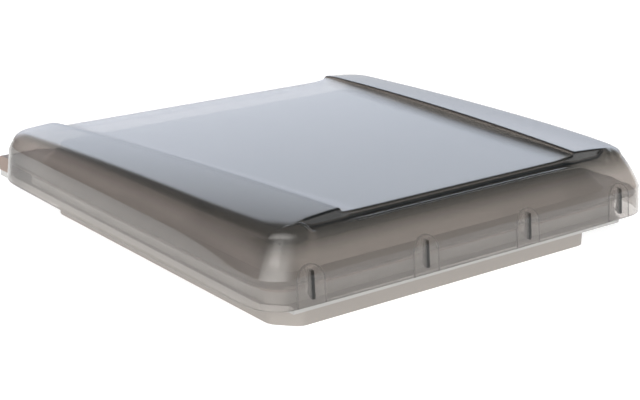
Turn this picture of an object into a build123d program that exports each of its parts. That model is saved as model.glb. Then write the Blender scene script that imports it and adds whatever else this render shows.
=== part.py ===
from build123d import *
import os
from math import atan, cos, degrees, radians, sin, sqrt

# Caravan roof vent: a double-skinned acrylic dome, hinged along its rear edge,
# on a moulded frame whose collar drops through a square cut-out in the roof.
# Millimetres. X runs across the vent, Y from the opening front to the hinge, Z up.
# The origin is the middle of the roof cut-out, at the roof's surface.

# Roof cut-out, and the collar and light shaft that pass through it
cutout_width = 400.0
collar_play = 2.0
collar_drop = 25.0
shaft_wall = 3.0
corner_leg = 20.0
corner_round = 5.0
collar_round = 14.0
leg_inset_share = 2 - sqrt(2)

# Flange that lies on the roof
flange_thickness = 6.0
flange_side_inset = 18.5
flange_front_inset = 17.7
flange_leg = 17.4
strip_reach = 6.4
hinge_shelf = 27.1

# Upstand and its push-on bulb seal
upstand_side_inset = 22.5
upstand_end_inset = 21.5
upstand_wall = 3.0
upstand_height = 22.5
seal_grip = 5.0
seal_lap = 2.0
seal_gap = 0.3

# Outer skin of the dome, from the skirt's bottom edge up. Its laps are measured from the collar.
dome_side_lap = 42.5
dome_end_lap = 33.5
dome_bow = 2.2
dome_gap = 3.2
dome_wall = 3.0
skirt_height = 26.4
skirt_inset = 3.2
skirt_corner = 33.0
crease_corner = 27.0
shoulder_rise = 31.8
shoulder_step_x = 10.0
shoulder_step_y = 15.0
shoulder_corner = 24.0
crown_room = 15.5
crown_step_x = 13.5
crown_step_y = 20.6
crown_corner = 21.0

# Top of the outer skin: a sloping flat panel between two crowned wings
panel_front_height = 64.2
panel_rise_share = 0.0386
panel_set_back = 26.2
wing_set_back = 24.5
wing_front_rise = 5.0
wing_middle_rise = 8.7
wing_rear_rise = 7.2
wing_tilt_share = 0.07
wing_front_width = 95.4
wing_rear_width = 59.1
ledge_drop = 4.4
ledge_inset = 52.0
ledge_corner = 12.0

# Inner skin: a flat rim and a raised tray
pane_gap = 0.3
pane_lift = 18.0
pane_thickness = 3.0
pane_rim = 22.0
tray_wall = 2.5
tray_gap = 6.0
tray_inset = 16.0
tray_corner = 28.0
tray_top_corner = 20.0

# Clips on the inside of the front skirt
clip_count = 4
clip_end_gap = 47.9
clip_width = 30.0
clip_height = 34.6
clip_gap = 0.2
clip_plate = 1.2
clip_slack = 0.5
notch_slack = 1.5
fin_width = 3.0
fin_depth = 7.0
fin_start = 5.9
fin_height = 24.0
fin_taper = 4.0

# Hinge along the rear edge
rail_depth = 23.0
rail_height = 15.7
rail_round = 5.0
cap_length = 4.0
hinge_count = 3
hinge_end_gap = 90.5
hinge_back = 14.0
hinge_rise = 9.4
hinge_arm_width = 15.4
hinge_side_play = 0.3
pocket_wall = 2.4
pocket_floor = 3.0
hinge_pin_radius = 2.5
hinge_pin_grip = 6.0
hinge_play = 0.08
knuckle_radius = 6.0
hinge_web = 6.0
arm_plate_gap = 0.8
arm_plate_foot = 2.0
arm_plate_height = 20.0
fit_gap = 0.05
open_angle = 45.0

# Bow that holds the dome up: cranked side arms, a cross-bar and a grip
bow_front_gap = 29.7
arm_wall_gap = 5.0
arm_thickness = 5.0
arm_eye_radius = 9.0
arm_depth = 12.0
bar_radius = 6.0
bar_wall = 1.5
bar_drop = 21.0
grip_length = 90.0
grip_depth = 19.0
grip_height = 17.0
grip_round = 7.0
pivot_radius = 3.0
pivot_play = 0.08
pivot_side_gap = 0.3
pivot_head_radius = 7.0
pivot_head = 2.6
bush_wall = 2.0
bush_flange_radius = 8.0
shoe_pin_head_radius = 4.5
shoe_pin_head = 1.5

# Brackets that hang the bow from the shaft's side walls
bracket_thickness = 3.0
bracket_length = 44.0
bracket_below = 22.0
bracket_above = 11.0
bracket_round = 8.0
bracket_screw_spacing = 28.0
bracket_screw_drop = 14.0

# Guide rails under the inner skin, and the shoes that run in them
guide_arm_gap = 4.0
guide_width = 13.0
guide_skin = 2.0
slot_height = 12.0
shoe_length = 20.0
shoe_play = 0.3
shoe_round = 2.0
stop_gap = 0.5
stop_length = 3.5
hanger_length = 14.0
hanger_width = 6.0
hanger_foot = 26.0
hanger_foot_thickness = 2.0
hanger_inset = 4.0

# Catches that hook over the cross-bar
catch_side_gap = 105.0
catch_out = 6.5
catch_drop = 9.5
catch_width = 12.0
catch_angle = 35.0
catch_pin_radius = 1.5
catch_ear_gap = 0.3
catch_ear = 2.0
catch_ear_radius = 4.5
catch_plate = 2.0
catch_plate_height = 19.0
catch_plate_lap = 9.0
catch_hub_radius = 4.0
catch_arm = 6.0
nose_gap = 0.5
nose_thickness = 4.0
nose_ahead = 7.5
nose_past = 5.0
tab_length = 12.0
tab_thickness = 3.0
tab_angle = 40.0

# Bosses for the screws that clamp the vent to the roof from inside
boss_radius = 6.5
boss_inset = 12.5
boss_hole_radius = 1.75
boss_skin = 2.2

# Screws
screw_radius = 2.0
head_radius = 3.8
head_height = 2.2
recess_radius = 1.4
recess_depth = 1.2
rail_screw_end_gap = 20.0
rail_screw_count = 4
arm_screw_foot = 4.2
arm_screw_head_room = 5.0

# Overrun of every cut
overrun = 10.0

# Places that follow from the sizes above
collar_half = cutout_width / 2 - collar_play
shaft_half = collar_half - shaft_wall
dome_half_x = collar_half + dome_side_lap
dome_half_y = collar_half + dome_end_lap
flange_half = dome_half_x - flange_side_inset
flange_front = dome_half_y - flange_front_inset
flange_rear = dome_half_y + hinge_shelf
strip_front = flange_front + strip_reach
skirt_z = flange_thickness + dome_gap
crease_z = skirt_z + skirt_height
shoulder_z = crease_z + shoulder_rise
crown_z = skirt_z + panel_front_height + crown_room
panel_front_y = panel_set_back - dome_half_y
panel_front_z = skirt_z + panel_front_height
panel_rear_z = panel_front_z - panel_rise_share * (dome_half_y - panel_front_y)
wing_front_y = wing_set_back - dome_half_y
wing_front_x = dome_half_x - wing_front_width
wing_rear_x = dome_half_x - wing_rear_width
wing_tilt_rise = wing_tilt_share * (wing_front_x + wing_rear_x) / 2
ledge_z = panel_front_z - ledge_drop
upstand_half_x = dome_half_x - upstand_side_inset
upstand_half_y = dome_half_y - upstand_end_inset
pane_z = skirt_z + pane_lift
tray_z = pane_z + pane_thickness
tray_top = panel_rear_z - dome_wall - tray_gap
tray_ceiling = tray_top - tray_wall
hinge_y = flange_rear - hinge_back
hinge_pin_length = hinge_arm_width + 2 * (hinge_side_play + hinge_pin_grip)
hinge_z = flange_thickness + hinge_rise
rail_middle_y = flange_rear - rail_depth / 2
rail_half = flange_half - cap_length
rail_top = flange_thickness + rail_height
bow_reach = (hinge_y + shaft_half - bow_front_gap) / 2
pivot_y = hinge_y - bow_reach
shoe_y = pivot_y - bow_reach
bar_z = hinge_z - bar_drop
arm_outer = shaft_half - arm_wall_gap
arm_inner = arm_outer - arm_thickness
guide_outer = arm_inner - guide_arm_gap
guide_inner = guide_outer - guide_width
guide_end_room = shoe_length / 2 + stop_gap + stop_length
guide_front = shoe_y - guide_end_room
guide_rear = hinge_y - 2 * bow_reach * cos(radians(open_angle)) + guide_end_room
guide_top = hinge_z + slot_height / 2 + guide_skin
bracket_face = shaft_half - bracket_thickness
bracket_screw_z = hinge_z - bracket_screw_drop
catch_place = shaft_half - catch_side_gap
catch_y = catch_out - shaft_half
catch_z = bar_z - catch_drop
catch_plate_face = catch_plate - shaft_half
catch_ear_out = catch_width / 2 + catch_ear_gap + catch_ear
catch_screw_x = catch_ear_out + catch_plate_lap / 2
boss_place = shaft_half - boss_inset
sides = (("left", -1), ("right", 1))

os.makedirs("parts", exist_ok=True)


def spread(count, half):
    """Places across the vent, evenly spaced from one end of a span to the other."""
    return [half * (2 * n / (count - 1) - 1) for n in range(count)]


hinge_places = spread(hinge_count, dome_half_x - hinge_end_gap)
clip_places = spread(clip_count, dome_half_x - clip_end_gap)
rail_screws = spread(rail_screw_count, flange_half - rail_screw_end_gap)


def lower_x(side, inner, outer):
    """The lower X of a span that runs from an inner to an outer distance on one side."""
    return inner if side > 0 else -outer


def skirt_step(height):
    """How far the skirt has leaned in at a height."""
    return skirt_inset * (height - skirt_z) / skirt_height


def eight_sides(half, leg):
    """A square with its corners cut off, as the collar and the shaft have."""
    return [(leg - half, -half), (half - leg, -half), (half, leg - half), (half, half - leg),
            (half - leg, half), (leg - half, half), (-half, half - leg), (-half, leg - half)]


def swing(points):
    """Catch points, given with the hook shut, turned back to the open hook."""
    turn = radians(catch_angle)
    return [(catch_y + (y - catch_y) * cos(turn) - (z - catch_z) * sin(turn),
             catch_z + (z - catch_z) * cos(turn) + (y - catch_y) * sin(turn)) for y, z in points]


def wing_edge(y):
    """Distance of a wing's inner edge from the middle, at a place along the vent."""
    share = (y - wing_front_y) / (-2 * wing_front_y)
    return wing_front_x + share * (wing_rear_x - wing_front_x)


def wing_crown(y, rise):
    """Height of a wing's top plane over the vent's middle, from its rise above the panel."""
    return panel_front_z - panel_rise_share * (y - panel_front_y) + rise + wing_tilt_rise


def dome_outline(height, half_x, half_y, corner):
    """Plan of the dome at a height. The front and the sides bow out, the rear is straight."""
    with BuildSketch(Plane.XY.offset(height)) as outline:
        with BuildLine():
            ThreePointArc((-half_x, -half_y), (0, -half_y - dome_bow), (half_x, -half_y))
            ThreePointArc((half_x, -half_y), (half_x + dome_bow, 0), (half_x, half_y))
            Line((half_x, half_y), (-half_x, half_y))
            ThreePointArc((-half_x, half_y), (-half_x - dome_bow, 0), (-half_x, -half_y))
        make_face()
        fillet(outline.vertices(), corner)
    return outline.sketch


def dome_form(inset):
    """The outer skin's form as a solid, drawn in by an inset on every side."""
    levels = ((skirt_z, 0, 0, skirt_corner),
              (crease_z, skirt_inset, skirt_inset, crease_corner),
              (shoulder_z, shoulder_step_x, shoulder_step_y, shoulder_corner),
              (crown_z, crown_step_x, crown_step_y, crown_corner))
    with BuildPart() as form:
        for height, step_x, step_y, corner in levels:
            add(dome_outline(height, dome_half_x - step_x - inset, dome_half_y - step_y - inset,
                             corner - inset))
        loft(ruled=True)
        # Above the panel, which slopes down from the front to the hinge
        lean = atan(panel_rise_share)
        panel_middle_z = panel_front_z + panel_rise_share * panel_front_y - inset
        panel_plane = Plane(origin=(0, 0, panel_middle_z), x_dir=(1, 0, 0),
                            z_dir=(0, sin(lean), cos(lean)))
        with BuildSketch(panel_plane):
            with BuildLine():
                reach = dome_half_y + overrun
                front_x = wing_edge(-reach) + inset
                rear_x = wing_edge(reach) + inset
                Polyline((-front_x, -reach), (front_x, -reach), (rear_x, reach), (-rear_x, reach),
                         close=True)
            make_face()
        extrude(amount=crown_z, mode=Mode.SUBTRACT)
        # Above the wings, which are crowned along the vent and fall away to the sides
        for side in (-1, 1):
            with BuildSketch(Plane.YZ):
                with BuildLine():
                    front = (-dome_half_y, wing_crown(-dome_half_y, wing_front_rise) - inset)
                    middle = (0, wing_crown(0, wing_middle_rise) - inset)
                    rear = (dome_half_y, wing_crown(dome_half_y, wing_rear_rise) - inset)
                    ThreePointArc(front, middle, rear)
                    Polyline(rear, (dome_half_y, 2 * crown_z), (-dome_half_y, 2 * crown_z), front)
                make_face()
            extrude(amount=2 * dome_half_x, dir=(side, 0, -wing_tilt_share), mode=Mode.SUBTRACT)
        # In front of the wings' ends and of the panel, down to the ledge
        ledge = ledge_z - inset
        for set_back, half, corner in ((wing_front_y, dome_half_x - ledge_inset, ledge_corner),
                                       (panel_front_y, wing_front_x, inset)):
            with BuildSketch(Plane.XZ.offset(-set_back - inset)) as step_outline:
                with Locations((0, ledge + crown_z / 2)):
                    Rectangle(2 * (half + inset), crown_z)
                if corner:
                    fillet(step_outline.vertices().group_by(Axis.Z)[0], corner)
            extrude(amount=dome_half_y, mode=Mode.SUBTRACT)
    return form.part


def rail_section(start):
    """Section of the rear rail at a place across the vent, with both top edges rounded."""
    with BuildSketch(Plane.YZ.offset(start)) as section:
        with Locations((rail_middle_y, flange_thickness + rail_height / 2)):
            Rectangle(rail_depth, rail_height)
        fillet(section.vertices().group_by(Axis.Y)[-1], rail_round)
    return section.sketch


# Frame: the flange, the collar that carries on up as a light shaft, and the upstand
with BuildPart() as base_frame:
    with BuildSketch() as flange_outline:
        with BuildLine():
            Polyline((flange_leg - flange_half, -flange_front), (flange_half - flange_leg, -flange_front),
                     (flange_half, flange_leg - flange_front), (flange_half, flange_rear),
                     (-flange_half, flange_rear), (-flange_half, flange_leg - flange_front), close=True)
        make_face()
        fillet(flange_outline.vertices(), corner_round / 2)
        with Locations((0, -strip_front / 2)):
            Rectangle(2 * (flange_half - flange_leg), strip_front)
    extrude(amount=flange_thickness)
    with BuildSketch(Plane.XY.offset(-collar_drop)) as collar_outline:
        with BuildLine():
            Polyline(*eight_sides(collar_half, corner_leg), close=True)
        make_face()
        fillet(collar_outline.vertices(), collar_round)
    extrude(amount=collar_drop + upstand_height)
    with BuildSketch(Plane.XY.offset(flange_thickness)) as upstand_outline:
        Rectangle(2 * upstand_half_x, 2 * upstand_half_y)
        fillet(upstand_outline.vertices(), corner_leg)
        offset(amount=-upstand_wall, mode=Mode.SUBTRACT)
    extrude(amount=upstand_height - flange_thickness)
    with BuildSketch(Plane.XY.offset(-collar_drop)) as shaft_outline:
        with BuildLine():
            Polyline(*eight_sides(shaft_half, corner_leg - shaft_wall * leg_inset_share), close=True)
        make_face()
        fillet(shaft_outline.vertices(), collar_round)
    extrude(amount=collar_drop + upstand_height, mode=Mode.SUBTRACT)
    with BuildSketch(Plane.XY.offset(-collar_drop)):
        with GridLocations(2 * boss_place, 2 * boss_place, 2, 2):
            Circle(boss_radius)
    extrude(amount=collar_drop + flange_thickness)
    with BuildSketch(Plane.XY.offset(-collar_drop)):
        with GridLocations(2 * boss_place, 2 * boss_place, 2, 2):
            Circle(boss_hole_radius)
    extrude(amount=collar_drop + flange_thickness - boss_skin, mode=Mode.SUBTRACT)
    # Holes for the screws of the bow brackets, the catch plates and the rear rail
    for name, side in sides:
        with BuildSketch(Plane.YZ.offset(lower_x(side, shaft_half, collar_half))):
            with Locations((pivot_y, bracket_screw_z)):
                with GridLocations(bracket_screw_spacing, 0, 2, 1):
                    Circle(screw_radius + fit_gap)
        extrude(amount=shaft_wall, mode=Mode.SUBTRACT)
        with BuildSketch(Plane.XZ.offset(shaft_half)):
            with Locations((side * catch_place, catch_z)):
                with GridLocations(2 * catch_screw_x, 0, 2, 1):
                    Circle(screw_radius + fit_gap)
        extrude(amount=shaft_wall, mode=Mode.SUBTRACT)
    with BuildSketch():
        for place in rail_screws:
            with Locations((place, rail_middle_y)):
                Circle(screw_radius + fit_gap)
    extrude(amount=flange_thickness, mode=Mode.SUBTRACT)
base_frame.part.label = "base_frame"
export_step(base_frame.part, "parts/base_frame.step")

# Bulb seal, pushed on to the top of the upstand
with BuildPart() as dome_seal:
    with BuildSketch(Plane.XY.offset(upstand_height - seal_grip)) as seal_outline:
        Rectangle(2 * (upstand_half_x + seal_lap), 2 * (upstand_half_y + seal_lap))
        fillet(seal_outline.vertices(), corner_leg + seal_lap)
        offset(amount=-upstand_wall - 2 * seal_lap, mode=Mode.SUBTRACT)
    extrude(amount=pane_z - seal_gap - upstand_height + seal_grip)
    fillet(dome_seal.faces().sort_by(Axis.Z)[-1].edges(), seal_lap)
    with BuildSketch(Plane.XY.offset(upstand_height - seal_grip)) as seal_slot:
        Rectangle(2 * upstand_half_x, 2 * upstand_half_y)
        fillet(seal_slot.vertices(), corner_leg)
        offset(amount=-upstand_wall, mode=Mode.SUBTRACT)
    extrude(amount=seal_grip, mode=Mode.SUBTRACT)
dome_seal.part.label = "dome_seal"
export_step(dome_seal.part, "parts/dome_seal.step")

# Rear rail, which covers the hinge and has a pocket for each hinge arm
with BuildPart() as rear_rail:
    extrude(rail_section(-rail_half), amount=2 * rail_half, dir=(1, 0, 0))
    pocket_depth = rail_depth - pocket_wall + overrun
    with BuildSketch(Plane.XY.offset(flange_thickness + pocket_floor)):
        for place in hinge_places:
            with Locations((place, flange_rear - pocket_wall - pocket_depth / 2)):
                Rectangle(hinge_arm_width + 2 * hinge_side_play, pocket_depth)
    extrude(amount=rail_height, mode=Mode.SUBTRACT)
    for place in hinge_places:
        with BuildSketch(Plane.YZ.offset(place - hinge_pin_length / 2)):
            with Locations((hinge_y, hinge_z)):
                Circle(hinge_pin_radius + fit_gap)
        extrude(amount=hinge_pin_length, mode=Mode.SUBTRACT)
    for radius, start in ((screw_radius, flange_thickness), (head_radius, rail_top - head_height)):
        with BuildSketch(Plane.XY.offset(start)):
            for place in rail_screws:
                with Locations((place, rail_middle_y)):
                    Circle(radius + fit_gap)
        extrude(amount=rail_height, mode=Mode.SUBTRACT)
rear_rail.part.label = "rear_rail"
export_step(rear_rail.part, "parts/rear_rail.step")

# End caps of the rear rail
for name, side in sides:
    with BuildPart() as rail_cap:
        extrude(rail_section(lower_x(side, rail_half, flange_half)), amount=cap_length, dir=(1, 0, 0))
    rail_cap.part.label = f"rail_cap_{name}"
    export_step(rail_cap.part, f"parts/rail_cap_{name}.step")

# Hinge pins, held in the rail's pocket walls
with BuildPart() as hinge_pins:
    for place in hinge_places:
        with BuildSketch(Plane.YZ.offset(place - hinge_pin_length / 2)):
            with Locations((hinge_y, hinge_z)):
                Circle(hinge_pin_radius)
        extrude(amount=hinge_pin_length)
hinge_pins.part.label = "hinge_pins"
export_step(hinge_pins.part, "parts/hinge_pins.step")

# Screws of the rear rail, down into the flange
with BuildPart() as rail_screw_set:
    for radius, start, height, mode in (
            (screw_radius, 0, rail_top - recess_depth, Mode.ADD),
            (head_radius, rail_top - head_height, head_height, Mode.ADD),
            (recess_radius, rail_top - recess_depth, recess_depth, Mode.SUBTRACT)):
        with BuildSketch(Plane.XY.offset(start)):
            for place in rail_screws:
                with Locations((place, rail_middle_y)):
                    Circle(radius)
        extrude(amount=height, mode=mode)
rail_screw_set.part.label = "rail_screws"
export_step(rail_screw_set.part, "parts/rail_screws.step")

# Outer skin of the dome, with holes for the hinge arms' screws
arm_screw_heights = (skirt_z + arm_screw_foot, pane_z - arm_screw_head_room)
with BuildPart() as outer_dome:
    add(dome_form(0))
    add(dome_form(dome_wall), mode=Mode.SUBTRACT)
    with BuildSketch(Plane.XZ.offset(overrun - dome_half_y)):
        for place in hinge_places:
            for height in arm_screw_heights:
                with Locations((place, height)):
                    Circle(screw_radius + fit_gap)
    extrude(amount=-2 * overrun, mode=Mode.SUBTRACT)
outer_dome.part.label = "outer_dome"
export_step(outer_dome.part, "parts/outer_dome.step")

# Inner skin: a rim that meets the seal, and a raised tray, notched for the clips
pane_step = skirt_step(tray_z) + dome_wall + pane_gap
rim_half_x = dome_half_x - pane_step
rim_half_y = dome_half_y - pane_step
tray_half_x = rim_half_x - pane_rim
tray_half_y = rim_half_y - pane_rim
with BuildPart() as inner_dome:
    add(dome_outline(pane_z, rim_half_x, rim_half_y, skirt_corner - pane_step))
    extrude(amount=pane_thickness)
    for height, half_x, half_y, corner in (
            (tray_z, tray_half_x, tray_half_y, tray_corner),
            (tray_top, tray_half_x - tray_inset, tray_half_y - tray_inset, tray_top_corner)):
        with BuildSketch(Plane.XY.offset(height)) as tray_outline:
            Rectangle(2 * half_x, 2 * half_y)
            fillet(tray_outline.vertices(), corner)
    loft(ruled=True)
    for height, step in ((pane_z, 0), (tray_ceiling, tray_inset)):
        with BuildSketch(Plane.XY.offset(height)) as hollow_outline:
            Rectangle(2 * (tray_half_x - step - tray_wall), 2 * (tray_half_y - step - tray_wall))
            fillet(hollow_outline.vertices(), tray_top_corner - tray_wall)
    loft(ruled=True, mode=Mode.SUBTRACT)
    plate_notch = clip_gap + clip_plate + notch_slack + dome_bow
    fin_notch = plate_notch + fin_depth
    with BuildSketch(Plane.XY.offset(pane_z)):
        for place in clip_places:
            with Locations((place, -rim_half_y - dome_bow)):
                Rectangle(clip_width + 2 * clip_slack, 2 * plate_notch)
                Rectangle(fin_width + 2 * clip_slack, 2 * fin_notch)
    extrude(amount=pane_thickness, mode=Mode.SUBTRACT)
inner_dome.part.label = "inner_dome"
export_step(inner_dome.part, "parts/inner_dome.step")

# Clips: thin arched plates inside the front skirt, each with an upright fin
plate_inset = dome_wall + clip_gap
plate_back = dome_half_y - plate_inset - clip_plate
clip_front = dome_half_y + dome_bow + overrun
fin_foot = skirt_z + fin_start
fin_head = fin_foot + fin_height
fin_edge = plate_back - fin_depth
with BuildPart() as skirt_clips:
    with BuildSketch(Plane.XZ.offset(plate_back - shoulder_step_y)):
        for place in clip_places:
            straight = clip_height - clip_width / 2
            with Locations((place, skirt_z + straight / 2)):
                Rectangle(clip_width, straight)
            with Locations((place, skirt_z + straight)):
                Circle(clip_width / 2)
    extrude(amount=clip_front - plate_back + shoulder_step_y)
    add(dome_form(plate_inset + clip_plate), mode=Mode.SUBTRACT)
    for place in clip_places:
        with BuildSketch(Plane.YZ.offset(place - fin_width / 2)):
            with BuildLine():
                Polyline((-clip_front, fin_foot), (-plate_back, fin_foot),
                         (-fin_edge, fin_foot + fin_taper), (-fin_edge, fin_head - fin_taper),
                         (fin_taper - fin_edge, fin_head), (-clip_front, fin_head), close=True)
            make_face()
        extrude(amount=fin_width)
    add(dome_form(plate_inset), mode=Mode.INTERSECT)
skirt_clips.part.label = "skirt_clips"
export_step(skirt_clips.part, "parts/skirt_clips.step")

# Hinge arms: a plate against the rear skirt, a web and a knuckle on the pin
plate_outer = flange_rear - rail_depth - arm_plate_gap
plate_foot = skirt_z + arm_plate_foot
plate_head = plate_foot + arm_plate_height
with BuildPart() as hinge_arms:
    for place in hinge_places:
        with BuildSketch(Plane.YZ.offset(place - hinge_arm_width / 2)):
            with BuildLine():
                Polyline((dome_half_y - skirt_step(plate_foot) + fit_gap, plate_foot),
                         (plate_outer, plate_foot), (plate_outer, plate_head),
                         (dome_half_y - skirt_step(plate_head) + fit_gap, plate_head), close=True)
            make_face()
            with Locations(((plate_outer + hinge_y) / 2, hinge_z)):
                Rectangle(hinge_y - plate_outer, hinge_web)
            with Locations((hinge_y, hinge_z)):
                Circle(knuckle_radius)
                Circle(hinge_pin_radius + hinge_play, mode=Mode.SUBTRACT)
        extrude(amount=hinge_arm_width)
    with BuildSketch(Plane.XZ.offset(overrun - dome_half_y)):
        for place in hinge_places:
            for height in arm_screw_heights:
                with Locations((place, height)):
                    Circle(screw_radius + fit_gap)
    extrude(amount=dome_half_y - overrun - plate_outer, mode=Mode.SUBTRACT)
hinge_arms.part.label = "hinge_arms"
export_step(hinge_arms.part, "parts/hinge_arms.step")

# Screws of the hinge arms, from inside the skirt
with BuildPart() as arm_screws:
    for height in arm_screw_heights:
        head_face = dome_half_y - skirt_step(height + head_radius) - dome_wall
        for radius, start, length, mode in (
                (screw_radius, head_face, plate_outer - head_face, Mode.ADD),
                (head_radius, head_face - head_height, head_height, Mode.ADD),
                (recess_radius, head_face - head_height, recess_depth, Mode.SUBTRACT)):
            with BuildSketch(Plane.XZ.offset(-start)):
                for place in hinge_places:
                    with Locations((place, height)):
                        Circle(radius)
            extrude(amount=-length, mode=mode)
arm_screws.part.label = "hinge_arm_screws"
export_step(arm_screws.part, "parts/hinge_arm_screws.step")

# Left and right pieces of the linkage
for name, side in sides:
    # Guide rail: a channel open towards the arm, hung from the inner skin on two feet
    with BuildPart() as guide_rail:
        with BuildSketch(Plane.XZ.offset(-guide_front)):
            with Locations((side * (guide_inner + guide_outer) / 2, hinge_z)):
                Rectangle(guide_width, slot_height + 2 * guide_skin)
            with Locations((side * (guide_inner + guide_skin + guide_outer) / 2, hinge_z)):
                Rectangle(guide_width - guide_skin, slot_height, mode=Mode.SUBTRACT)
        extrude(amount=guide_front - guide_rear)
        hanger_places = (guide_front + hanger_inset + hanger_foot / 2,
                         guide_rear - hanger_inset - hanger_foot / 2)
        with BuildSketch(Plane.XY.offset(guide_top)):
            for place in hanger_places:
                with Locations((side * (guide_inner + guide_outer) / 2, place)):
                    Rectangle(hanger_width, hanger_length)
        extrude(amount=tray_ceiling - guide_top)
        with BuildSketch(Plane.XY.offset(tray_ceiling - hanger_foot_thickness)):
            for place in hanger_places:
                with Locations((side * (guide_inner + guide_outer) / 2, place)):
                    Rectangle(guide_width, hanger_foot)
        extrude(amount=hanger_foot_thickness)
    guide_rail.part.label = f"guide_rail_{name}"
    export_step(guide_rail.part, f"parts/guide_rail_{name}.step")

    # Shoe that runs in the guide rail and turns on the arm's pin
    with BuildPart() as shoe:
        shoe_inner = guide_inner + guide_skin + shoe_play
        shoe_outer = guide_outer - shoe_play
        with BuildSketch(Plane.YZ.offset(lower_x(side, shoe_inner, shoe_outer))) as shoe_outline:
            with Locations((shoe_y, hinge_z)):
                Rectangle(shoe_length, slot_height - 2 * shoe_play)
                fillet(shoe_outline.vertices(), shoe_round)
                Circle(pivot_radius + pivot_play, mode=Mode.SUBTRACT)
        extrude(amount=shoe_outer - shoe_inner)
    shoe.part.label = f"guide_shoe_{name}"
    export_step(shoe.part, f"parts/guide_shoe_{name}.step")

    # Side arm of the bow, cranked down at its front end to the cross-bar
    with BuildPart() as bow_arm:
        with BuildSketch(Plane.YZ.offset(lower_x(side, arm_inner, arm_outer))):
            with Locations((pivot_y, hinge_z), (shoe_y, hinge_z), (shoe_y, bar_z)):
                Circle(arm_eye_radius)
            with Locations(((pivot_y + shoe_y) / 2, hinge_z)):
                Rectangle(bow_reach, arm_depth)
            with Locations((shoe_y, (hinge_z + bar_z) / 2)):
                Rectangle(arm_depth, bar_drop)
            with Locations((pivot_y, hinge_z)):
                Circle(pivot_radius + bush_wall + fit_gap, mode=Mode.SUBTRACT)
            with Locations((shoe_y, hinge_z)):
                Circle(pivot_radius + fit_gap, mode=Mode.SUBTRACT)
            with Locations((shoe_y, bar_z)):
                Circle(bar_radius + fit_gap, mode=Mode.SUBTRACT)
        extrude(amount=arm_thickness)
    bow_arm.part.label = f"bow_arm_{name}"
    export_step(bow_arm.part, f"parts/bow_arm_{name}.step")

    # Bracket that carries the arm's pivot on the shaft wall
    with BuildPart() as pivot_bracket:
        with BuildSketch(Plane.YZ.offset(lower_x(side, bracket_face, shaft_half))) as bracket_outline:
            with Locations((pivot_y, hinge_z + (bracket_above - bracket_below) / 2)):
                Rectangle(bracket_length, bracket_above + bracket_below)
                fillet(bracket_outline.vertices(), bracket_round)
            with Locations((pivot_y, hinge_z)):
                Circle(pivot_radius + fit_gap, mode=Mode.SUBTRACT)
            with Locations((pivot_y, bracket_screw_z)):
                with GridLocations(bracket_screw_spacing, 0, 2, 1):
                    Circle(screw_radius + fit_gap, mode=Mode.SUBTRACT)
        extrude(amount=bracket_thickness)
    pivot_bracket.part.label = f"pivot_bracket_{name}"
    export_step(pivot_bracket.part, f"parts/pivot_bracket_{name}.step")

    # Bracket of the catch: a plate on the front shaft wall with two ears
    with BuildPart() as catch_bracket:
        with BuildSketch(Plane.XZ.offset(shaft_half)) as plate_outline:
            with Locations((side * catch_place, catch_z)):
                Rectangle(2 * (catch_ear_out + catch_plate_lap), catch_plate_height)
                with GridLocations(2 * catch_screw_x, 0, 2, 1):
                    Circle(screw_radius + fit_gap, mode=Mode.SUBTRACT)
        extrude(amount=-catch_plate)
        for ear_start in (-catch_ear_out, catch_ear_out - catch_ear):
            with BuildSketch(Plane.YZ.offset(side * catch_place + ear_start)):
                with Locations((catch_y, catch_z)):
                    Circle(catch_ear_radius)
                with Locations(((catch_y + catch_plate_face) / 2, catch_z)):
                    Rectangle(catch_y - catch_plate_face, 2 * catch_ear_radius)
                with Locations((catch_y, catch_z)):
                    Circle(catch_pin_radius + fit_gap, mode=Mode.SUBTRACT)
            extrude(amount=catch_ear)
    catch_bracket.part.label = f"catch_bracket_{name}"
    export_step(catch_bracket.part, f"parts/catch_bracket_{name}.step")

    # Catch hook, drawn open: a hub, an arm with a nose, and a thumb tab
    with BuildPart() as catch_hook:
        nose_z = bar_z + bar_radius + nose_gap
        nose_start = shoe_y - nose_ahead
        nose_end = shoe_y + nose_past
        hook_points = swing([(catch_y - catch_arm / 2, catch_z),
                             (catch_y + catch_arm / 2, catch_z),
                             (nose_start + catch_arm / 2, nose_z), (nose_end, nose_z),
                             (nose_end, nose_z + nose_thickness),
                             (nose_start - catch_arm / 2, nose_z + nose_thickness)])
        tab_turn = radians(tab_angle)
        tab_tip = (catch_y + tab_length * sin(tab_turn), catch_z - tab_length * cos(tab_turn))
        with BuildSketch(Plane.YZ.offset(side * catch_place - catch_width / 2)):
            with BuildLine():
                Polyline(*hook_points, close=True)
            make_face()
            with Locations((catch_y, catch_z)):
                Circle(catch_hub_radius)
            with Locations(Location(((catch_y + tab_tip[0]) / 2, (catch_z + tab_tip[1]) / 2, 0),
                                    (0, 0, tab_angle))):
                Rectangle(tab_thickness, tab_length)
            with Locations((catch_y, catch_z)):
                Circle(catch_pin_radius + hinge_play, mode=Mode.SUBTRACT)
        extrude(amount=catch_width)
    catch_hook.part.label = f"catch_hook_{name}"
    export_step(catch_hook.part, f"parts/catch_hook_{name}.step")

# Stops that close both ends of each guide rail
with BuildPart() as guide_stops:
    for name, side in sides:
        for start in (guide_front, guide_rear - stop_length):
            with BuildSketch(Plane.XZ.offset(-start)):
                with Locations((side * (guide_inner + guide_skin + guide_outer) / 2, hinge_z)):
                    Rectangle(guide_width - guide_skin - fit_gap, slot_height - fit_gap)
            extrude(amount=-stop_length)
guide_stops.part.label = "guide_stops"
export_step(guide_stops.part, "parts/guide_stops.step")

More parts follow.
